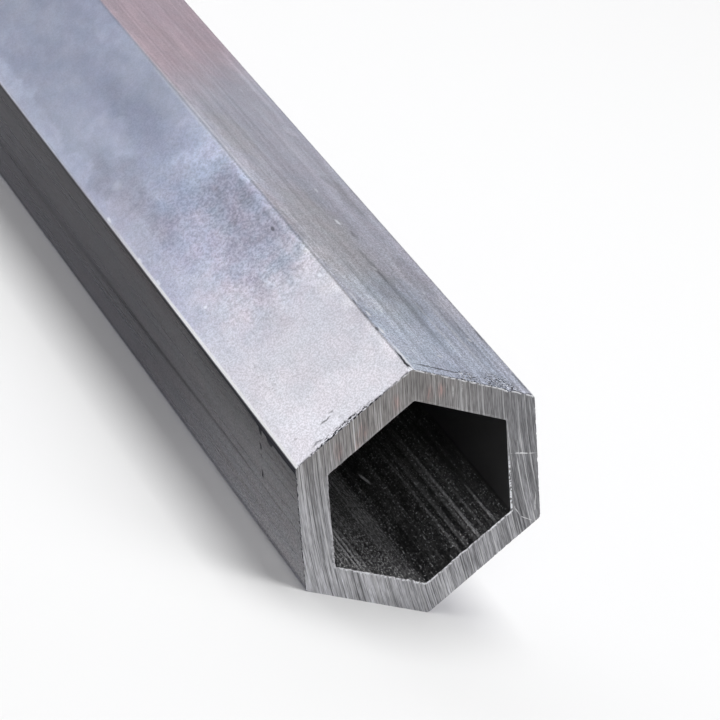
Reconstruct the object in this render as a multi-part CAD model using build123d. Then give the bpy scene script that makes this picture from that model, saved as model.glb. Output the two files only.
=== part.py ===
from build123d import *
import os

# One length of extruded aluminium hexagonal tube, lying on a flat.
# Millimetres, +Z up. The tube runs along X, and the origin is below its middle, on the floor.

# Driving dimensions
length = 500.0               # from sawn end to sawn end
across_flats = 40.0          # outside, over two opposite flats
wall = 5.0                   # at the middle of each flat
outer_corner_radius = 1.0    # the six long outside edges, as the die rounds them
bore_corner_radius = 0.4     # the six long inside corners, nearly sharp

# The bore is what the wall leaves, so it keeps its flats in line with the outside ones.
bore_across_flats = across_flats - 2 * wall


def rounded_hexagon(width_across_flats, corner_radius):
    """A regular hexagon with a flat at its top and its bottom, and rounded corners."""
    inscribed_radius = width_across_flats / 2
    hexagon = RegularPolygon(inscribed_radius, 6, major_radius=False)
    return fillet(hexagon.vertices(), corner_radius)


def tube_section():
    """The wall as the die shapes it: one hexagon inside another."""
    outside = rounded_hexagon(across_flats, outer_corner_radius)
    bore = rounded_hexagon(bore_across_flats, bore_corner_radius)
    return outside - bore


def hex_tube():
    """The section drawn out from the far sawn end to the near one, its bottom flat on the floor."""
    far_end = Plane(origin=(-length / 2, 0, across_flats / 2), x_dir=(0, 1, 0), z_dir=(1, 0, 0))
    tube = extrude(far_end * tube_section(), amount=length)
    tube.label = "hex_tube"
    return tube


os.makedirs("parts", exist_ok=True)
export_step(hex_tube(), "parts/hex_tube.step")
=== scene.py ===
import math

import bpy
import numpy as np
from mathutils import Matrix, Vector


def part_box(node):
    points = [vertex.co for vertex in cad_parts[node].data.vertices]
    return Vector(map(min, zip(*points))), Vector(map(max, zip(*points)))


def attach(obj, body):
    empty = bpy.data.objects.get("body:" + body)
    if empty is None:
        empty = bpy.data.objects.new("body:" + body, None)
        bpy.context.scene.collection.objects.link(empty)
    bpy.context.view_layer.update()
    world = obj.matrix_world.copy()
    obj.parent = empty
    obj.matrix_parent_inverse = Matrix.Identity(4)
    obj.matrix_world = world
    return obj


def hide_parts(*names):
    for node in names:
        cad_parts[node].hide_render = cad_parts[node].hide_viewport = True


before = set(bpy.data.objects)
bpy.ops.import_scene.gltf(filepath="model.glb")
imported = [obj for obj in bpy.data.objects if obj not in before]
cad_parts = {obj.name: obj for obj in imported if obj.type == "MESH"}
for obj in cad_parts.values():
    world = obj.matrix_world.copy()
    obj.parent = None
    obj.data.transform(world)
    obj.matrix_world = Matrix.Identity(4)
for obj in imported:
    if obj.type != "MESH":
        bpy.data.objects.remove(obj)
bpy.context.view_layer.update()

# The tube.
# One length of hexagonal tube, extruded in aluminium through a die that leaves long fine lines on it, then
# cut off square at both ends by a circular saw, which leaves arcs on the ends and burrs at their edges.
MM = 0.001
tube_low, tube_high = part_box("hex_tube")
length = tube_high.x - tube_low.x
half_length = length / 2
across_flats = tube_high.z - tube_low.z
wall = 5.0 * MM
outer_corner_radius = 1.0 * MM
bore_corner_radius = 0.4 * MM
centre_y = (tube_low.y + tube_high.y) / 2
centre_z = (tube_low.z + tube_high.z) / 2
near_end, far_end = 1, -1       # the way along X that each end faces; the near one is the one in the photo

corner_steps = 8                # round one corner, outside and in the bore alike
flat_steps = 112                # over one flat
side_steps = corner_steps + flat_steps
columns = 6 * side_steps


def pointing(angle):
    """The way (y, z) at an angle that turns from +Y up to +Z."""
    return np.array([math.cos(angle), math.sin(angle)])


def rounded_hexagon(width_across_flats, corner_radius):
    """Points (y, z) round a hexagon with a flat at its top and bottom, and the outward way at each of them.
    It starts at the low left corner and turns past the bottom flat towards +Y."""
    reach = (width_across_flats / 2 - corner_radius) / math.cos(math.radians(30))
    points, outward = [], []
    for corner in range(6):
        turn = math.radians(240 + 60 * corner)
        this_middle = reach * pointing(turn)
        next_middle = reach * pointing(turn + math.radians(60))
        for step in range(corner_steps):
            outward.append(pointing(turn + math.radians(60 * step / corner_steps - 30)))
            points.append(this_middle + corner_radius * outward[-1])
        flat_way = pointing(turn + math.radians(30))
        for step in range(flat_steps):
            share = step / flat_steps
            outward.append(flat_way)
            points.append(this_middle * (1 - share) + next_middle * share + corner_radius * flat_way)
    return np.array(points), np.array(outward)


def way_round(points):
    """How far each point lies round the outline from the first one, ending with the whole way round."""
    steps = np.linalg.norm(np.diff(points, axis=0, append=points[:1]), axis=1)
    return np.concatenate([[0.0], np.cumsum(steps)])


def wander(places, spacing, seed):
    """A smooth wandering value from -1 to 1: random heights at even places, joined by soft steps."""
    places = np.asarray(places, float) / spacing
    before = np.floor(places).astype(int)
    share = places - before
    share = share * share * (3 - 2 * share)
    count = 4096
    heights = np.random.default_rng(seed).uniform(-1, 1, count)
    return heights[before % count] * (1 - share) + heights[(before + 1) % count] * share


def die_lines(around, seed):
    """How deep the die's lines lie under the full size, at each point round the section: fine lines
    everywhere, broader hollows, and a few deeper lines."""
    fine = 0.5 + 0.5 * wander(around, 0.35 * MM, seed)
    broad = 0.5 + 0.5 * wander(around, 2.6 * MM, seed + 1)
    rare = np.clip(wander(around, 0.5 * MM, seed + 2) - 0.75, 0, 1) * 4
    return (0.002 * fine + 0.006 * broad + 0.008 * rare) * MM


skin_points, skin_outward = rounded_hexagon(across_flats, outer_corner_radius)
bore_points, bore_outward = rounded_hexagon(across_flats - 2 * wall, bore_corner_radius)
skin_around = way_round(skin_points)
bore_around = way_round(bore_points)
skin_depth = die_lines(skin_around[:-1], seed=11)
bore_depth = die_lines(bore_around[:-1], seed=21)

blade_radius = 175 * MM
blade_turn = math.radians(35)       # of the saw marks at the middle of an end, from straight down towards +Y
tooth_spacing = 0.38 * MM
tooth_depth = 0.009 * MM
feed_spacing = 1.7 * MM
feed_depth = 0.007 * MM
end_recess = 0.06 * MM              # of a sawn face under the tube's full length, which only burrs come near
end_seeds = {near_end: 30, far_end: 60}


def saw_marks(points, side):
    """How far along its saw mark a point of an end lies, and how far across the marks, in metres."""
    seen = np.stack([points[..., 0] * side, points[..., 1]], -1)
    away = blade_radius * pointing(blade_turn) - seen
    across = blade_radius - np.linalg.norm(away, axis=-1)
    along = blade_radius * (np.arctan2(away[..., 1], away[..., 0]) - blade_turn)
    return along, across


def end_depth(points, side):
    """How deep a sawn end lies under the full length: tooth marks, and the broader steps of the feed."""
    seed = end_seeds[side]
    along, across = saw_marks(points, side)
    across = across + 0.1 * MM * wander(along, 11 * MM, seed)
    teeth = wander(across, tooth_spacing, seed + 1) * (0.6 + 0.4 * wander(along, 6 * MM, seed + 2))
    feed = wander(across, feed_spacing, seed + 3)
    return end_recess + tooth_depth * teeth + feed_depth * feed


bite_size = 0.20 * MM
tear_size = 0.30 * MM
tear_middle = 74.5 * MM             # round the section: on the top flat, by its right ridge
tear_width = 3.4 * MM
tear_reach = 1.3 * MM               # along the tube
burr_size = 0.22 * MM
fade = 0.13 * MM                    # how far a bite or a burr reaches along the tube
lip_height = 0.9                    # of the bore's burrs where they stand highest, as a share of the recess


def edge_bites(around, side):
    """Small bites that the saw takes out of the skin's edge, from 0 to 1."""
    seed = end_seeds[side] + 5
    bites = np.clip(wander(around, 0.4 * MM, seed) - 0.3, 0, 1) / 0.7
    return bites * (0.5 + 0.5 * wander(around, 9 * MM, seed + 1))


def torn_stretch(around, side):
    """Where the skin's edge is torn deeper, from 0 to 1. Only the near end has such a stretch."""
    if side == far_end:
        return np.zeros_like(around)
    torn = np.exp(-((around - tear_middle) / tear_width) ** 2)
    return torn * np.clip(0.45 + wander(around, 0.7 * MM, end_seeds[side] + 9), 0, 1)


def burr(side):
    """The ragged lip that the saw leaves at the mouth of the bore, from 0 to 1 at each of the bore's points.
    Most of it is on the low side, and some at the right."""
    seed = end_seeds[side] + 7
    around = bore_around[:-1]
    low_side = np.clip(0.55 - bore_points[:, 1] / (20 * MM), 0.08, 1)
    right_edge = np.exp(-np.sum((bore_points - (14 * MM, 6 * MM)) ** 2, axis=1) / (5 * MM) ** 2)
    beads = np.clip(0.5 + 0.9 * wander(around, 0.3 * MM, seed), 0, 1)
    uneven = np.clip(0.6 + 0.6 * wander(around, 4 * MM, seed + 1), 0.15, 1)
    return np.maximum(low_side, right_edge) * beads * uneven


def skin_loop(from_near):
    """The skin's outline (y, z) at a distance from the near end, with the bites and the tear at its edges."""
    depth = skin_depth.copy()
    for side, distance in ((near_end, from_near), (far_end, length - from_near)):
        bites = edge_bites(skin_around[:-1], side)
        depth += bite_size * bites * math.exp(-distance / fade)
        tear = torn_stretch(skin_around[:-1], side)
        depth += tear_size * tear * math.exp(-(distance / tear_reach) ** 2)
    return skin_points - skin_outward * depth[:, None]


def bore_loop(from_near):
    """The bore's outline (y, z) at a distance from the near end, with the burrs at its two mouths."""
    depth = bore_depth.copy()
    for side, distance in ((near_end, from_near), (far_end, length - from_near)):
        depth -= burr_size * burr(side) * math.exp(-distance / fade)
    return bore_points + bore_outward * depth[:, None]


def stations(close_steps, spacing):
    """Distances from the near end to the far one, close together at both ends."""
    close = np.array(close_steps) * MM
    count = 1 + round((length - 2 * close[-1]) / spacing)
    between = np.linspace(close[-1], length - close[-1], count)
    return np.concatenate([close[:-1], between, (length - close[:-1])[::-1]])


def placed(outline, xs):
    """An outline (y, z) as points in the tube's frame."""
    ys = centre_y + outline[:, 0]
    zs = centre_z + outline[:, 1]
    return np.stack([np.broadcast_to(xs, len(outline)), ys, zs], 1)


def end_loop(outline, side, lip=0.0):
    """A loop of points on a sawn end, at the depth that the saw left there. A lip stands up from it."""
    return placed(outline, side * (half_length - end_depth(outline, side) * (1 - lip)))


wall_rows = 26                      # of faces over a sawn end, from the skin's edge to the bore's
skin_stations = stations([0, 0.12, 0.3, 0.6, 1.0, 1.6, 2.4, 4, 10], 40 * MM)
bore_stations = stations([0, 0.15, 0.4, 1.0, 2.5, 6], 80 * MM)
skin_loops = [placed(skin_loop(d), half_length - d) for d in skin_stations]
bore_loops = [placed(bore_loop(d), half_length - d) for d in bore_stations]
end_loops = {}
for side, which, at in ((near_end, 0, 0.0), (far_end, -1, length)):
    skin_loops[which] = end_loop(skin_loop(at), side)
    bore_loops[which] = end_loop(bore_loop(at), side, lip_height * burr(side))
    end_loops[side] = [end_loop(skin_loop(at) * (1 - share) + bore_loop(at) * share, side)
                       for share in np.arange(1, wall_rows) / wall_rows]

# The loops follow each other over the skin, across the far end, back through the bore, across the near end.
chain = skin_loops + end_loops[far_end] + bore_loops[::-1] + end_loops[near_end][::-1]
points = np.concatenate(chain)
turns = np.cumsum([0, len(skin_loops) - 1, wall_rows, len(bore_loops) - 1, wall_rows])
zones = dict(zip(("skin", "far_end", "bore", "near_end"), zip(turns[:-1], turns[1:])))

# Three maps go with it. The grain map is in millimetres, along the grain and across it: the die's lines on
# the skin and in the bore, the saw's marks on the ends. The edge map is in millimetres too. On the skin and
# in the bore it runs from the nearest sawn end and round the section, and on an end from the skin's edge and
# from the bore's. The bake map gives each zone a place of its own on one square: a low left corner and a size.
bake_places = {"skin": ((0.005, 0.005), (0.99, 0.42)), "bore": ((0.005, 0.435), (0.99, 0.13)),
               "near_end": ((0.005, 0.575), (0.48, 0.48)), "far_end": ((0.505, 0.575), (0.48, 0.48))}
faces, face_zones, grain, edges, baked = [], [], [], [], []
for number, (zone, (first, last)) in enumerate(zones.items()):
    loops = np.arange(first, last + 1) % len(chain)
    grid = points.reshape(len(chain), columns, 3)[loops]
    grid = np.concatenate([grid, grid[:, :1]], 1)
    if zone in ("skin", "bore"):
        around = {"skin": skin_around, "bore": bore_around}[zone]
        along = grid[..., 0]
        across = np.broadcast_to(around, grid.shape[:2])
        edge = np.stack([half_length - abs(along), across], -1)
        sheet = np.stack([0.5 + along / length, across / around[-1]], -1)
    else:
        side = {"near_end": near_end, "far_end": far_end}[zone]
        along, across = saw_marks(grid[..., 1:] - (centre_y, centre_z), side)
        from_skin = np.linspace(0, wall, len(grid))
        if zone == "near_end":
            from_skin = from_skin[::-1]
        from_skin = np.broadcast_to(from_skin[:, None], grid.shape[:2])
        edge = np.stack([from_skin, wall - from_skin], -1)
        sheet = (grid[..., 1:] - (tube_low.y, tube_low.z)) / (tube_high.y - tube_low.y)
    around_steps = np.arange(columns)
    a = loops[:-1, None] * columns + around_steps
    b = loops[:-1, None] * columns + (around_steps + 1) % columns
    c = loops[1:, None] * columns + (around_steps + 1) % columns
    d = loops[1:, None] * columns + around_steps
    faces.append(np.stack([a, d, c, b], -1).reshape(-1, 4))
    face_zones.append(np.full(a.size, number))
    corner, size = np.array(bake_places[zone])
    grain_values = np.stack([along, across], -1) / MM
    for kept, values in ((grain, grain_values), (edges, edge / MM), (baked, corner + sheet * size)):
        corners = [values[:-1, :-1], values[1:, :-1], values[1:, 1:], values[:-1, 1:]]
        kept.append(np.stack(corners, 2).reshape(-1, 2))

mesh = bpy.data.meshes.new("hex_tube_surface")
mesh.from_pydata(points.tolist(), [], np.concatenate(faces).tolist())
for name, values in (("grain_mm", grain), ("edge_mm", edges), ("OFBake", baked)):
    layer = mesh.uv_layers.new(name=name)
    layer.data.foreach_set("uv", np.concatenate(values).astype(np.float32).ravel())
mesh.shade_smooth()
mesh.set_sharp_from_angle(angle=math.radians(38))       # the sawn edges
mesh.polygons.foreach_set("material_index", np.concatenate(face_zones).astype(np.int32))
tube = bpy.data.objects.new("hex_tube_surface", mesh)
bpy.context.collection.objects.link(tube)
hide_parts("hex_tube")
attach(tube, "root")

# The mill skin.
# Bare extruded aluminium, never painted or anodised, with a dull bluish oxide. It has stains, nicks along its
# ridges, and fine streaks from the die. Painted light and shade lie in its colour too: a painted sheen where
# the shoulder flat nears the end, painted shade on the low flat and along two ridges, and painted highlights on
# the shoulder's two ridges.


class Wire:
    """An output of a material's nodes. Arithmetic on wires adds the Math or Vector Math nodes for it."""

    def __init__(self, tree, socket=None):
        self.tree = tree
        self.socket = socket

    def node(self, kind, settings=None, sockets=None, output=0):
        """Adds a node: first its settings, then the values or the wires of its sockets."""
        made = self.tree.nodes.new("ShaderNode" + kind)
        for name, value in (settings or {}).items():
            setattr(made, name, value)
        for name, value in (sockets or {}).items():
            if isinstance(value, Wire):
                self.tree.links.new(value.socket, made.inputs[name])
            else:
                made.inputs[name].default_value = value
        return Wire(self.tree, made.outputs[output])

    def combined(self, operation, first, second):
        vectors = any(isinstance(v, Wire) and v.socket.type in ("VECTOR", "RGBA") for v in (first, second))
        kind = "VectorMath" if vectors else "Math"
        return self.node(kind, {"operation": operation}, {0: first, 1: second})

    def __add__(self, other):
        return self.combined("ADD", self, other)

    def __radd__(self, other):
        return self.combined("ADD", other, self)

    def __sub__(self, other):
        return self.combined("SUBTRACT", self, other)

    def __rsub__(self, other):
        return self.combined("SUBTRACT", other, self)

    def __mul__(self, other):
        return self.combined("MULTIPLY", self, other)

    def __rmul__(self, other):
        return self.combined("MULTIPLY", other, self)

    def part(self, number):
        """One part of this map or place, as a number: the first is 0."""
        return self.node("SeparateXYZ", {}, {0: self}, number)

    def step(self, low, high):
        """A soft step from 0 at low to 1 at high, which may be the lesser of the two."""
        settings = {"interpolation_type": "SMOOTHSTEP"}
        return self.node("MapRange", settings, {"Value": self, "From Min": low, "From Max": high})

    def blend(self, first, second):
        """A colour that this wire, from 0 to 1, takes from first to second."""
        return self.node("Mix", {"data_type": "RGBA"}, {0: self, 6: first, 7: second}, 2)

    def tint(self, colour):
        """What to multiply a colour by: white where this wire is 0, and the given colour where it is 1."""
        return self.blend((1, 1, 1, 1), colour)

    def bump(self, strength, depth):
        """This wire as relief in the surface, so deep from 0 to 1."""
        return self.node("Bump", {}, {"Strength": strength, "Distance": depth, "Height": self})

    def noise(self, along, across, detail, seed, output=0):
        """Noise on the grain map: so many patches to the millimetre along the grain and across it."""
        scale_and_seed = {0: self, 1: (along, across, 0), 2: (0, 0, 7.3 * seed)}
        stretched = self.node("VectorMath", {"operation": "MULTIPLY_ADD"}, scale_and_seed)
        return self.node("TexNoise", {}, {"Vector": stretched, "Scale": 1.0, "Detail": detail}, output)

    def wobbled(self, along, across, patches, seed):
        """This map pushed about by noise, so that marks placed on it get uneven rims."""
        push = self.noise(patches, patches, 4, seed, "Color") - (0.5, 0.5, 0.5)
        return self + push * (along, across, 0)

    def mark(self, place, reach, turn=0.0, soft=0.6):
        """1 in the middle of an oval mark on this map, and softly down to 0 at its rim."""
        oval = self.node("TexGradient", {"gradient_type": "SPHERICAL"}, {"Vector": self}, "Fac")
        lie = oval.socket.node.texture_mapping
        lie.vector_type = "TEXTURE"
        lie.translation = (*place, 0)
        lie.rotation = (0, 0, turn)
        lie.scale = (*reach, 1)
        return oval.step(0, soft)

    def scratch(self, first, last, width):
        """A thin mark from one place on this map to another, tapering at both ends."""
        run = (last[0] - first[0], last[1] - first[1])
        middle = ((first[0] + last[0]) / 2, (first[1] + last[1]) / 2)
        return self.mark(middle, (0.55 * math.hypot(*run), width), math.atan2(run[1], run[0]), 0.7)


def new_material(name):
    """A material with one shader. Gives both."""
    material = bpy.data.materials.new(name)
    material.use_nodes = True
    tree = material.node_tree
    tree.nodes.clear()
    shader = tree.nodes.new("ShaderNodeBsdfPrincipled")
    out = tree.nodes.new("ShaderNodeOutputMaterial")
    tree.links.new(shader.outputs["BSDF"], out.inputs["Surface"])
    return material, shader


def surface_map(shader, name):
    """One of the surface's maps, in the shader's material."""
    return Wire(shader.id_data).node("UVMap", {"uv_map": name})


def plug(shader, **sockets):
    """Sets the shader's sockets to values or wires. A socket's spaces are underscores here."""
    for name, value in sockets.items():
        socket = shader.inputs[name.replace("_", " ")]
        if isinstance(value, Wire):
            value.tree.links.new(value.socket, socket)
        else:
            socket.default_value = value


top, shoulder, low = 3, 4, 5        # the three flats in view, by their numbers round the section
flat_across = 22                    # millimetres across a flat, near enough, between its rounded ridges
near_mm = half_length / MM          # the near end's place along the tube


def on_flat(flat, from_cut, across_flat):
    """A place on the grain map, so far from the near end and so far across a flat: down from its upper
    ridge, or on the top flat away from the ridge that it shares with the shoulder."""
    first = skin_around[flat * side_steps + corner_steps] / MM
    last = skin_around[(flat + 1) * side_steps] / MM
    return near_mm - from_cut, (last - across_flat if flat == top else first + across_flat)


def skin_marks(on_map, soft, rows_on_flats):
    """Oval marks on the skin, added up. Each row on a flat gives how strong a mark is, its middle (from the
    near end, and across the flat), and how far it reaches along and across, in millimetres."""
    total = 0.0
    for flat, rows in rows_on_flats.items():
        for strength, from_cut, across_flat, long, wide in rows:
            place = on_flat(flat, from_cut, across_flat)
            total = total + strength * on_map.mark(place, (long, wide), soft=soft)
    return total


skin, shader = new_material("mill_skin")
grain_map = surface_map(shader, "grain_mm")
along = grain_map.part(0)
across = grain_map.part(1)
from_end = surface_map(shader, "edge_mm").part(0)
from_near = near_mm - along
nearing = from_end.step(110, 0)     # 0 along the tube, and up to 1 towards each end

# Where the three flats in view start round the section, and which of them a point is on.
top_start = on_flat(top, 0, flat_across)[1]
shoulder_start = on_flat(shoulder, 0, 0)[1]
low_start = on_flat(low, 0, 0)[1]
low_end = on_flat(low, 0, flat_across)[1]
past_top, past_shoulder, on_low = (across.step(start - 0.8, start - 0.2)
                                   for start in (top_start, shoulder_start, low_start))
on_top = past_top - past_shoulder
on_shoulder = past_shoulder - on_low

# What varies all over: broad clouds, mottling, the die's lines, grit, and curled patches. The curled patches
# show most a little way in from the end, high on the shoulder.
broad = grain_map.noise(0.05, 0.13, 4, 1)
mottle = grain_map.noise(0.30, 0.42, 4, 2)
lined = grain_map.noise(0.02, 1.3, 4, 3).step(0.3, 0.7) * (1 - on_shoulder)
grit = grain_map.noise(3.0, 3.4, 2, 4).step(0.3, 0.7)
curls = grain_map.noise(1.8, 2.1, 3, 5).step(0.38, 0.62)
high_on_shoulder = on_shoulder * across.step(shoulder_start + 26, shoulder_start + 6)
curled = from_end.step(24, 42) * from_end.step(95, 60) * (0.2 + 0.8 * high_on_shoulder)

# Soft stains. The ones below 0 are pale.
cloudy = grain_map.wobbled(20, 9, 0.15, 6)
stained = skin_marks(cloudy, 0.5, {
    shoulder: (
        (-0.08, 1, 18.0, 12, 6.0), (0.06, 13, 0.8, 22, 2.0), (0.10, 24, 8.0, 18, 13.0),
        (0.08, 30, 21.5, 22, 4.0), (-0.11, 44, 7.0, 7, 4.0), (0.07, 44, 14.5, 22, 9.0),
        (0.12, 45, 0.6, 8, 2.0), (0.09, 47, 9.8, 16, 3.0), (0.07, 56, 3.8, 16, 4.0),
        (-0.06, 58, 12.5, 10, 4.0), (0.06, 66, 8.0, 12, 4.5), (0.10, 66, 21.5, 18, 3.5),
        (0.11, 73, 15.5, 11, 4.0), (-0.15, 77, 4.0, 5, 4.0), (-0.11, 84, 2.0, 6, 3.0),
        (0.08, 86, 16.0, 15, 4.5), (0.06, 92, 16.5, 14, 4.0), (0.12, 98, 4.5, 24, 8.0),
        (-0.08, 98, 13.0, 14, 5.0), (0.13, 98, 15.0, 50, 11.0), (0.07, 100, 4.0, 9, 4.0),
        (-0.06, 114, 14.0, 14, 5.0), (-0.14, 124, 21.5, 60, 3.0), (-0.08, 126, 1.0, 22, 3.0),
        (-0.07, 136, 17.0, 18, 6.0)),
    top: (
        (-0.09, 7, 1.9, 12, 2.2), (-0.05, 8, 3.0, 16, 6.5), (0.12, 22, 11.2, 26, 3.0),
        (-0.16, 25, 1.0, 10, 4.5), (-0.07, 35, 21.2, 60, 2.2), (0.12, 36, 18.6, 9, 3.0),
        (0.11, 40, 10.0, 32, 6.0), (-0.12, 62, 0.5, 60, 1.8), (0.17, 65.5, 19.4, 8, 3.0),
        (-0.12, 98, 21.6, 40, 3.0), (0.10, 116, 7.2, 17, 3.2))})
faintly_blue = (stained * on_shoulder * 3).tint((0.98, 0.99, 1.02, 1))

# One stain high on the shoulder has nearly straight rims, where something lay on it, and they waver a little.
waver = 9 * (mottle - 0.5)
covered = (from_near + waver).step(34.5, 39.5) * (from_near + waver).step(77, 66)
covered = covered * across.step(shoulder_start + 0.3, shoulder_start + 1.1)
covered = covered * (across + 0.6 * waver).step(shoulder_start + 11.5, shoulder_start + 6.0)
stained = stained + covered * (0.05 + 0.34 * mottle)

# The metal's own colour, from its darker clouds to its lighter ones. The low flat is painted darker as shade,
# darker still from the end inward.
metal = (0.54, 0.54, 0.625, 1), (0.60, 0.60, 0.68, 1)
shoulder_metal = (0.435, 0.47, 0.61, 1), (0.535, 0.575, 0.705, 1)
sheen_metal = (0.675, 0.665, 0.715, 1)
shaded_low_metal = (0.47, 0.465, 0.48, 1), (0.28, 0.276, 0.297, 1)
cloud = (0.6 * broad + 0.4 * mottle).step(0.35, 0.65)
tone = on_shoulder.blend(cloud.blend(*metal), cloud.blend(*shoulder_metal))
# Painted sheen: paler towards each end, most on the shoulder and less on the other flats, but not on the low
# flat.
painted_sheen = from_end.step(72, 10) * (0.3 + 0.7 * on_shoulder) * (1 - on_low)
pale = (painted_sheen + 0.4 * (broad - 0.5) - 0.9 * stained).step(0.02, 0.95)
tone = pale.blend(tone, sheen_metal) * faintly_blue
# Painted shade: the low flat darker, and darker still from the end inward.
tone = on_low.blend(tone, from_end.step(0, 75).blend(*shaded_low_metal))

# How bright it is: the low flat is painted lighter lower down, as reflected light; stains darken; and lines,
# grit and curls show through.
painted_light_down_low = (across - (low_start + 8.6)) * (1 / flat_across)
brightness = 1 + on_low * painted_light_down_low * (1.1 + 0.5 * nearing.step(0.3, 0.9))
brightness = brightness * (1 - stained * (0.80 + 0.40 * mottle.step(0.35, 0.62)))
brightness = brightness * (1 + (lined - 0.5) * (0.08 + 0.16 * nearing) * (1 - 0.65 * on_low))
grainy = (grit - 0.5) * (0.10 + 0.23 * nearing) * (1.8 - 0.8 * on_shoulder)
brightness = brightness * (1 + grainy + (curls - 0.5) * (0.05 + 0.27 * curled))
tone = tone * brightness

# Tints: flushed patches on the shoulder; a warm film over part of the top flat, a rosy one further off whose
# front runs slantwise, and a cold one by the end; faint patches of hue all over; specks among the curls.
flushed = skin_marks(cloudy, 0.6, {
    shoulder: ((1, 50, 12.0, 24, 7), (1, 54, 4.0, 20, 6), (1, 66, 19.0, 36, 8))})
warm = skin_marks(cloudy, 0.6, {top: ((1, 40, 5.5, 32, 9), (0.7, 82, 4.5, 14, 5))})
warm = warm + 0.5 * stained.step(0.12, 0.3) * (1 - on_shoulder)
rosy = (from_near + 0.9 * (across - shoulder_start)).step(86, 108) * from_near.step(260, 150) * on_top
cold = skin_marks(cloudy, 0.6, {top: ((1, 8, 8.0, 34, 19),)}) * on_top
hue = grain_map.noise(0.20, 0.28, 3, 20).step(0.35, 0.65)
speckled = grain_map.noise(0.26, 0.34, 3, 25).step(0.36, 0.64)
tone = tone * flushed.tint((1.04, 0.99, 0.965, 1))
tone = tone * warm.tint((1.01, 1.0, 0.945, 1))
tone = tone * rosy.tint((1.12, 0.93, 0.91, 1))
tone = tone * cold.tint((0.97, 1.05, 1.10, 1))
tone = tone * hue.blend((0.99, 1.003, 1.006, 1), (1.012, 0.995, 0.997, 1))
tone = tone * (0.5 + (speckled - 0.5) * curled).blend((0.965, 1.004, 1.012, 1), (1.03, 0.992, 0.995, 1))

# Streaks from the die, long and straight.
marked = skin_marks(grain_map, 0.8, {
    top: (
        (0.35, 15, 14.2, 12, 0.5), (0.45, 17, 16.3, 14, 0.6), (0.50, 17, 18.7, 11, 0.6),
        (0.45, 20, 13.1, 14, 0.7), (0.55, 20, 17.7, 18, 0.9), (0.50, 24, 11.2, 25, 1.1),
        (0.25, 34, 14.8, 20, 0.6), (0.40, 38, 10.8, 11, 0.9), (0.20, 60, 10.4, 30, 0.8),
        (0.30, 75, 19.5, 24, 1.2)),
    low: (
        (0.25, 12, 12.2, 14, 0.5), (0.25, 14, 17.0, 16, 0.6), (0.30, 40, 8.6, 36, 0.9))})
marked = marked * (0.6 + 0.6 * mottle)

# A long dark line on the low flat, a little aslant, in a wider and fainter one: how dark each is, half its
# width, and how far from the near end it fades in and out again.
off_line = across - 0.019 * from_near - (low_start + 11.5)
for depth, half_width, fades_in, fades_out in (
        (0.60, 0.9, (14, 28), (110, 40)),
        (0.42, 2.2, (20, 80), (230, 150))):
    line = off_line.step(-half_width, 0) * off_line.step(half_width, 0)
    marked = marked + depth * line * from_near.step(*fades_in) * from_near.step(*fades_out)

# Small dark marks, and a smudge on the shoulder.
uneven = grain_map.wobbled(1.2, 0.5, 0.9, 7)
marked = marked + skin_marks(uneven, 0.7, {
    top: (
        (0.70, 4, 21.8, 4.5, 0.4), (0.70, 18.5, 21.8, 3.5, 0.4), (0.55, 49, 12.8, 2.2, 0.9)),
    shoulder: (
        (0.80, 1.4, 17.5, 0.4, 1.7), (0.50, 2.6, 12.4, 0.4, 0.5), (0.90, 4.2, 14.4, 0.35, 1.5),
        (0.70, 4.9, 12.9, 0.3, 0.8), (0.50, 5.3, 19.8, 0.4, 0.5), (0.85, 49, 2.0, 0.9, 0.5))})
smudge = skin_marks(uneven, 0.6, {shoulder: ((1, 21.5, 17.6, 7.5, 2.6),)})
marked = marked + 0.45 * smudge * grain_map.noise(1.9, 2.3, 2, 22).step(0.56, 0.64)

# Nicks: deeper marks, the torn stretches at the cut edge of the top flat, and the others' chipped cut edges.
nicks = skin_marks(uneven, 0.6, {
    top: ((0.7, 2.3, 5.0, 0.4, 6.0),),
    low: (
        (0.9, 10.5, 1.0, 1.5, 0.9), (0.9, 14.2, 1.1, 0.8, 1.2), (0.6, 14.5, 6.2, 0.4, 0.7),
        (0.8, 14.6, 4.2, 0.4, 1.1), (0.9, 14.8, 9.6, 0.4, 1.2))})
torn = skin_marks(uneven, 0.6, {top: ((1, 1.5, 16.8, 4.5, 4.5), (1, 1.2, 10.6, 3.4, 2.8))})
chipped = skin_marks(uneven, 0.6, {shoulder: ((1, 0.1, 12.5, 1.4, 8.5),), low: ((0.7, 0, 11, 1.0, 14),)})
nicks = nicks + 1.1 * torn * grain_map.noise(4.5, 2.4, 4, 19).step(0.47, 0.60)
nicks = nicks + 1.2 * chipped * grain_map.noise(4.0, 1.5, 2, 19).step(0.47, 0.56)

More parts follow.
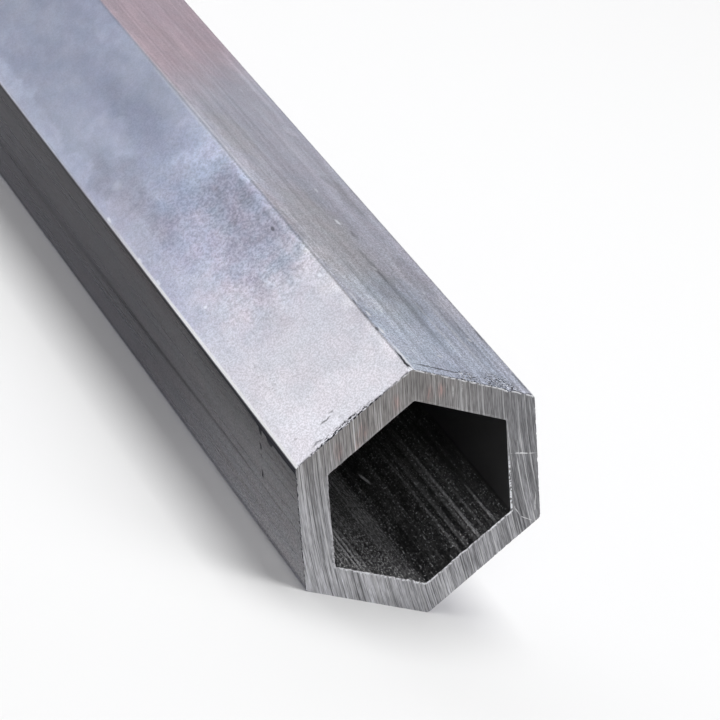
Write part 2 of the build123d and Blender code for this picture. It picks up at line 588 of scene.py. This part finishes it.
# Bright flecks and lines where the bare metal shows, and painted glints on the shoulder's upper ridge by the
# end and at its corner. A long faint painted highlight runs along that ridge.
flecks_and_glints = skin_marks(uneven, 0.7, {
    top: (
        (0.90, 4, -0.2, 6, 0.35), (0.70, 7.2, 8.2, 0.4, 0.8), (1.10, 12.2, -0.1, 1.2, 0.5),
        (0.70, 16, 18.5, 0.8, 0.5), (0.35, 17, 16.4, 15, 0.5), (0.90, 17.5, 0.1, 1.3, 0.4),
        (0.30, 18, 13.3, 15, 0.4), (0.25, 20, 19.6, 14, 0.4), (0.60, 23, 0.0, 2.5, 0.4),
        (0.50, 31, 17.5, 0.8, 0.4), (0.40, 36.5, 10.7, 1.0, 0.5), (0.90, 52.8, 11.5, 1.2, 0.6),
        (0.50, 64.8, 13.0, 1.0, 0.5)),
    shoulder: (
        (1.20, 0.4, -0.3, 1.0, 0.45), (0.40, 32, 1.0, 0.8, 0.4), (0.40, 45, 18.2, 0.7, 0.4),
        (0.40, 58, 21.8, 1.0, 0.4), (0.40, 66, 21.9, 1.0, 0.4), (0.50, 80, 21.9, 1.2, 0.4),
        (0.28, 84, -0.5, 46, 0.9), (0.14, 86, 17.3, 2.0, 1.2))})
flecks_and_glints = flecks_and_glints + 0.8 * (torn + chipped) * grain_map.noise(3.6, 2.4, 3, 21).step(0.56, 0.63)

# Dark along the ridges: marks above the shoulder by the end, a painted shade line all along under the
# shoulder's lower ridge, and faint painted shade along the low flat's lower ridge. The shoulder's lower ridge
# has a painted highlight, strongest by the end.
ridge_marks_and_shade = skin_marks(uneven, 0.5, {
    shoulder: (
        (1.0, 1, -0.45, 6.5, 0.3), (0.7, 12.9, -0.5, 1.0, 0.3), (0.5, 17, -0.5, 1.8, 0.22),
        (0.5, 21.5, -0.5, 1.2, 0.22)),
    low: ((0.9, 7, 0.4, 16, 0.7),)})
# Painted shade: a dark line just under the shoulder's lower ridge, darker towards the ends.
shade_under_ridge = across.step(low_start - 0.55, low_start - 0.25) * across.step(low_start + 0.5, low_start + 0.1)
ridge_marks_and_shade = ridge_marks_and_shade + shade_under_ridge * (0.6 + 0.4 * nearing)
# Painted shade along the low flat's lower ridge.
lowest_ridge_shade = across.step(low_end - 1.0, low_end - 0.5) * across.step(low_end + 1.2, low_end + 0.5)
ridge_marks_and_shade = ridge_marks_and_shade + 0.4 * lowest_ridge_shade
# Painted highlight on the shoulder's lower ridge, strongest by the ends.
ridge_highlight = across.step(low_start - 1.2, low_start - 0.8) * across.step(low_start - 0.45, low_start - 0.62)
ridge_highlight = ridge_highlight * (0.12 + 0.88 * from_end.step(95, 42))

# Everything dark, dirt and painted shade alike, lies over the metal, and the bright flecks, the painted glints
# and the ridge's painted highlight over that.
dirt_and_shade_colour = (0.035, 0.035, 0.042, 1)
fleck_and_glint_colour = (0.90, 0.92, 0.98, 1)
ridge_highlight_colour = (0.98, 0.98, 1.0, 1)
cut_line = from_end.step(0.62, 0.15) * grain_map.noise(0.6, 1.7, 3, 8).step(0.34, 0.50)
dark = (0.8 * marked + 1.1 * nicks + ridge_marks_and_shade + 0.75 * cut_line).step(0, 1.15)
tone = dark.blend(tone, dirt_and_shade_colour)
tone = flecks_and_glints.blend(tone, fleck_and_glint_colour)
tone = ridge_highlight.blend(tone, ridge_highlight_colour)
relief = 0.6 * grit + 0.5 * lined - 0.8 * nicks
# The dark marks and the ridge's painted highlight are less metallic, so that their painted colour shows.
metallic = (1 - 0.9 * dark.step(0.5, 1)) * (1 - 0.8 * ridge_highlight)
roughness = 0.36 + 0.08 * lined - 0.10 * on_low
plug(shader, Base_Color=tone, Metallic=metallic, Roughness=roughness, Normal=relief.bump(0.4, 0.02 * MM))
plug(shader, Specular_Tint=(0.55, 0.55, 0.55, 1), Specular_IOR_Level=0.0)     # dull at grazing angles

# The sawn ends.
# Bright metal where the saw's teeth tore it, in arcs of pale and dark lines, painted darker at the top and
# lighter low down as light and shade, with a thin lip round the bore painted bright as a highlight on its
# burrs, and a few scratches from handling.


def on_near_end(y, z):
    """A place on the grain map: on the near end, so far right of the tube's middle and above the floor."""
    point = np.array([y * MM - centre_y, z * MM - centre_z])
    return [float(part) / MM for part in saw_marks(point, near_end)]


sawn, shader = new_material("sawn_end")
grain_map = surface_map(shader, "grain_mm")
edge_map = surface_map(shader, "edge_mm")
from_skin = edge_map.part(0)
from_bore = edge_map.part(1)
place = grain_map.node("TexCoord", output="Object")
sideways = place.part(1)
height = place.part(2)
left = sideways.step(0.012, -0.010)
up = height.step(0.012, 0.030)

# The teeth's lines, from broad bands to the finest, and the metal's colour over them.
bands = grain_map.noise(0.03, 0.6, 3, 9)
teeth = grain_map.noise(0.04, 2.6, 4, 10)
lines = grain_map.noise(0.05, 5.5, 2, 11)
fine = grain_map.noise(0.5, 9.0, 2, 12)
torn_metal = (0.15, 0.15, 0.15, 1), (0.285, 0.285, 0.29, 1)
shaded_upper_metal = (0.205, 0.205, 0.207, 1)
pale_line = (0.57, 0.57, 0.58, 1)
dark_line = (0.07, 0.07, 0.075, 1)
tone = (0.30 * bands + 0.70 * teeth).step(0.28, 0.72).blend(*torn_metal)
# Painted light and shade: darker at the top of the end, lighter low down, and a little lighter at the left.
tone = (0.65 * height.step(0.029, 0.034)).blend(tone, shaded_upper_metal)
tone = tone * ((1 + 2.0 * (fine - 0.5)) * (1 + 1.0 * height.step(0.030, -0.002)) * (1 + 0.15 * left))
tone = tone * (left * up).blend((0.965, 0.965, 1.0, 1), (1.045, 1.0, 0.975, 1))

# The near end's uneven brightness: lighter low at the left and darker low at the right, a lighter band high at
# the right, and patches: how much lighter each is, where, and how far along and across the lines.
lopsided = 0.18 * height.step(0.018, 0.006) * (left - 0.5)
lopsided = lopsided + 0.10 * (1 - left) * height.step(0.022, 0.028) * height.step(0.036, 0.033)
for lighter, y, z, long, wide in (
        (-0.22, -13.0, 8.0, 7, 4.5), (0.18, 1.5, 2.5, 5, 4.0), (0.20, 12.0, 5.5, 4, 2.5),
        (-0.26, 14.4, 10.0, 4, 2.5), (0.16, 10.1, 37.5, 4, 4.0), (-0.17, -10.1, 37.5, 4, 3.0),
        (-0.13, 16.2, 27.0, 5, 3.0), (0.10, -14.1, 30.5, 5, 3.0)):
    lopsided = lopsided + lighter * grain_map.mark(on_near_end(y, z), (long, wide), soft=0.9)
tone = tone * (1 + lopsided)
crisp = 1 - 0.5 * height.step(0.031, 0.036)
tone = (0.95 * crisp * lines.step(0.58, 0.66)).blend(tone, pale_line)
tone = (0.7 * crisp * lines.step(0.42, 0.34)).blend(tone, dark_line)

# Faint red specks.
blush = 0.0
for y, z in ((-11.5, 34.0), (-6.7, 36.7), (-4.9, 37.5), (-14.8, 28.5), (-14.9, 26.6), (-17.3, 24.2)):
    blush = blush + grain_map.mark(on_near_end(y, z), (2.2, 1.0), soft=0.9) * fine.step(0.40, 0.60)
tone = tone * blush.tint((1.28, 0.97, 0.93, 1))

# Scratches: how bright each is, where it starts and ends, and its width.
scratched = 0.0
unsteady = grain_map.wobbled(0.25, 0.25, 0.8, 13)
for bright, first, last, width in (
        (0.75, (11.6, 29.5), (17.6, 30.8), 0.13), (0.60, (12.4, 29.9), (16.0, 30.4), 0.12),
        (0.60, (16.8, 21.4), (19.6, 19.4), 0.12), (0.70, (19.0, 19.5), (22.4, 19.1), 0.12),
        (0.60, (19.8, 24.6), (21.9, 20.2), 0.12), (0.70, (-3.6, 39.2), (-2.2, 36.6), 0.12),
        (0.60, (-2.0, 39.6), (-1.2, 37.8), 0.10), (0.50, (-5.0, 39.5), (-4.2, 37.9), 0.10)):
    scratched = scratched + bright * unsteady.scratch(on_near_end(*first), on_near_end(*last), width)
scratched = scratched * grain_map.noise(1.4, 1.4, 2, 23).step(0.34, 0.56)
tone = scratched.blend(tone, (0.80, 0.80, 0.81, 1))

# The lip: bare burrs, painted bright as a highlight, beaded along the bore's edge at the right and low down,
# and broken along the skin's top edge.
lip_highlight_colour = (0.90, 0.91, 0.94, 1)
lip_glint_side = 0.20 + 1.1 * grain_map.mark(on_near_end(15.0, 21), (13, 5))
lip_glint_side = lip_glint_side + 0.5 * height.step(0.020, 0.009) * sideways.step(-0.015, -0.004)
beads = grain_map.noise(1.9, 1.9, 2, 14).step(0.42, 0.54)
broken = grain_map.noise(1.1, 1.1, 4, 26).step(0.42, 0.56)
lip = lip_glint_side.step(0, 1) * from_bore.step(0.45, 0.20) * beads
lip = lip + 0.8 * from_skin.step(0.32, 0.10) * height.step(0.036, 0.0395) * broken
tone = lip.blend(tone, lip_highlight_colour)
relief = teeth + 0.8 * lines
plug(shader, Base_Color=tone, Metallic=1 - 0.7 * lip, Roughness=0.42, Normal=relief.bump(0.7, 0.02 * MM))

# The bore.
# The same metal, dulled by oxide and painted darker still as the shade inside the bore. Dust of the cut lies in
# grains on the three flats that face up, painted darker deeper in as shade, so that it shows most near the
# mouths;
# and the die has left a few pale streaks there.
inside, shader = new_material("bore_skin")
grain_map = surface_map(shader, "grain_mm")
across = grain_map.part(1)
from_end = surface_map(shader, "edge_mm").part(0)
bore_flat = bore_around[-1] / 6 / MM        # millimetres round the bore from one flat to the next
faces_down = across.step(2 * bore_flat - 0.5, 2 * bore_flat + 0.5)
faces_down = faces_down * across.step(5 * bore_flat + 0.5, 5 * bore_flat - 0.5)
faces_up = 1 - faces_down
on_bottom = across.step(bore_flat + 2.0, bore_flat - 2.0)
# Painted shade: the dust grows darker from the mouths inward, and the light reaches deeper on the flat right of
# the bottom one.
painted_mouth_light = (from_end + 26 * across.step(bore_flat - 1, bore_flat + 16)).step(80, 14)

# Grains of dust, bright specks among them, and the drifts that they lie in.
dust = grain_map.noise(1.8, 3.6, 3, 15).step(0.40, 0.66)
specks = grain_map.noise(2.1, 4.0, 1, 17).step(0.61, 0.67)
drift = grain_map.noise(0.08, 0.45, 3, 16).step(0.3, 0.7)

# Pale streaks from the die, which start at the near mouth: how pale each is, its place across the bottom flat
# or across the one to the right of it, and its reach along and across. One short nick lies deeper in.
pale_streaks = 0.0
for flat_start, rows in (
        (0, ((0.7, 2.6, 22.4, 0.3), (0.5, 3.8, 28, 0.3), (0.8, 4.9, 22.4, 0.35), (0.6, 5.9, 28, 0.5),
             (0.4, 7.0, 22.4, 0.6))),
        (bore_flat, ((0.7, 7.4, 47.6, 0.35), (0.6, 8.8, 44.8, 0.5), (0.5, 10.3, 39.2, 0.4),
                     (0.9, 11.2, 42, 0.45), (0.5, 12.6, 33.6, 0.3), (0.9, 14.6, 16.8, 0.35)))):
    for strength, across_flat, long, wide in rows:
        streak = grain_map.mark((near_mm, flat_start + across_flat), (long, wide), soft=0.7)
        pale_streaks = pale_streaks + strength * streak
streaked = grain_map.noise(0.015, 2.4, 2, 24).step(0.45, 0.70)
nick = grain_map.scratch((near_mm - 26, bore_flat + 3.1), (near_mm - 31, bore_flat + 2.3), 0.3)
pale_streaks = pale_streaks + 1.8 * nick

# How light the bore is: lightest where dust lies, on the bottom flat and by the right corner of the mouth.
# The bore's colours, dulled by oxide and painted darker as its shade; the dust lies over them.
shaded_dull_above = (0.26, 0.26, 0.265, 1)
shaded_dull_below = (0.15, 0.15, 0.155, 1)
dusty = (0.85, 0.845, 0.86, 1)
grains = 0.24 * dust + (0.9 + 2.1 * on_bottom) * specks
lit = 0.04 + 0.11 * streaked + grains * (0.30 + 0.6 * drift + 0.6 * streaked)
lit = (lit * (0.36 + 0.74 * painted_mouth_light) + 0.70 * pale_streaks * (0.7 + 0.3 * dust)) * faces_up
lit = lit * (1 - 0.4 * from_end.step(3, 0) + 1.5 * on_bottom * from_end.step(2, 18))
right_corner = grain_map.mark((near_mm, bore_flat + 14.0), (26, 4.5), soft=0.9)
lit = lit + (0.05 + 0.06 * dust + 0.12 * specks) * right_corner + 0.05 * on_bottom
tone = faces_up.blend(shaded_dull_above, lit.blend(shaded_dull_below, dusty))
plug(shader, Base_Color=tone, Metallic=1 - 0.6 * lit, Roughness=0.40 + 0.2 * lit)

# One slot for each zone of the mesh, in their order: the skin, the far end, the bore and the near end.
for material in (skin, sawn, inside, sawn):
    mesh.materials.append(material)

# The floor.
# A plain pale sheet, wide enough to run out of every picture.
half_floor = 6.0
floor_corners = [(-half_floor, -half_floor, 0), (half_floor, -half_floor, 0),
                 (half_floor, half_floor, 0), (-half_floor, half_floor, 0)]
floor_mesh = bpy.data.meshes.new("floor")
floor_mesh.from_pydata(floor_corners, [], [(0, 1, 2, 3)])
floor = bpy.data.objects.new("floor", floor_mesh)
bpy.context.collection.objects.link(floor)
pale_floor, shader = new_material("pale_floor")
plug(shader, Base_Color=(0.88, 0.88, 0.88, 1), Roughness=0.9, Specular_IOR_Level=0.0)
floor_mesh.materials.append(pale_floor)

# The light.
# A soft studio: a dim even surround, large soft lamps from the right and above, a fill for the sawn end, and
# panels that the top flat, the shoulder and the low flat reflect.
world = bpy.data.worlds.new("studio")
bpy.context.scene.world = world
world.use_nodes = True
surround = world.node_tree.nodes["Background"]
surround.inputs["Color"].default_value = (0.2, 0.2, 0.205, 1)
surround.inputs["Strength"].default_value = 1.0


def lamp(name, place, aim, width, depth, radiance):
    """A soft rectangular lamp, at a place and aimed at another. Its face has the given radiance: 1 is white."""
    data = bpy.data.lights.new(name, "AREA")
    data.shape = "RECTANGLE"
    data.size = width
    data.size_y = depth
    data.energy = radiance * width * depth * math.pi
    made = bpy.data.objects.new(name, data)
    bpy.context.collection.objects.link(made)
    made.location = place
    made.rotation_euler = (Vector(aim) - Vector(place)).to_track_quat("-Z", "Y").to_euler()
    made.visible_camera = False


lamp("key", (0.55, 0.95, 1.35), (0.1, 0.0, 0.0), 1.4, 1.4, 1.6)
lamp("overhead", (0.1, 0.0, 1.5), (0.1, 0.0, 0.0), 1.0, 1.0, 4.6)
lamp("front_fill", (1.15, -0.62, 0.55), (0.25, 0.0, 0.02), 0.5, 0.5, 2.4)
lamp("back_panel", (-0.88, 0.76, 0.50), (0.2, 0.0, 0.04), 1.4, 0.9, 0.38)
lamp("end_panel", (-1.10, 0.0, 1.0), (0.2, 0.0, 0.04), 2.2, 0.5, 0.5)
lamp("shoulder_panel", (0.065, -0.150, 0.104), (0.25, -0.017, 0.03), 0.07, 0.12, 1.05)
lamp("side_panel", (-0.18, -0.33, 0.20), (0.25, -0.017, 0.03), 0.30, 0.24, 0.75)

# The camera.
# It stands where the photo was taken from, worked out from the end's corners and the long edges, and it leans
# to the side as the photo does. What it looks at lies a little left of the near end's middle and above it.
azimuth = math.radians(-35.12)
elevation = math.radians(19.32)
roll = math.radians(25.24)
distance = 602.3 * MM
aim_left = 9.3 * MM
aim_above = 20.5 * MM
level = math.cos(elevation)
back = Vector((level * math.cos(azimuth), level * math.sin(azimuth), math.sin(elevation)))
level_right = (-back).cross(Vector((0, 0, 1))).normalized()
level_up = level_right.cross(-back)
right = math.cos(roll) * level_right + math.sin(roll) * level_up
up = math.cos(roll) * level_up - math.sin(roll) * level_right
end_middle = Vector((half_length, centre_y, centre_z))
stand = end_middle - aim_left * right + aim_above * up + distance * back
camera_data = bpy.data.cameras.new("camera")
camera_data.lens = 196.3            # millimetres, for a picture 36 mm wide
camera_data.sensor_width = 36
camera_data.clip_start = 0.01
camera_data.clip_end = 100
camera = bpy.data.objects.new("camera", camera_data)
bpy.context.collection.objects.link(camera)
camera.matrix_world = Matrix.Translation(stand) @ Matrix((right, up, back)).transposed().to_4x4()
bpy.context.scene.camera = camera
bpy.context.scene.view_settings.view_transform = "Standard"
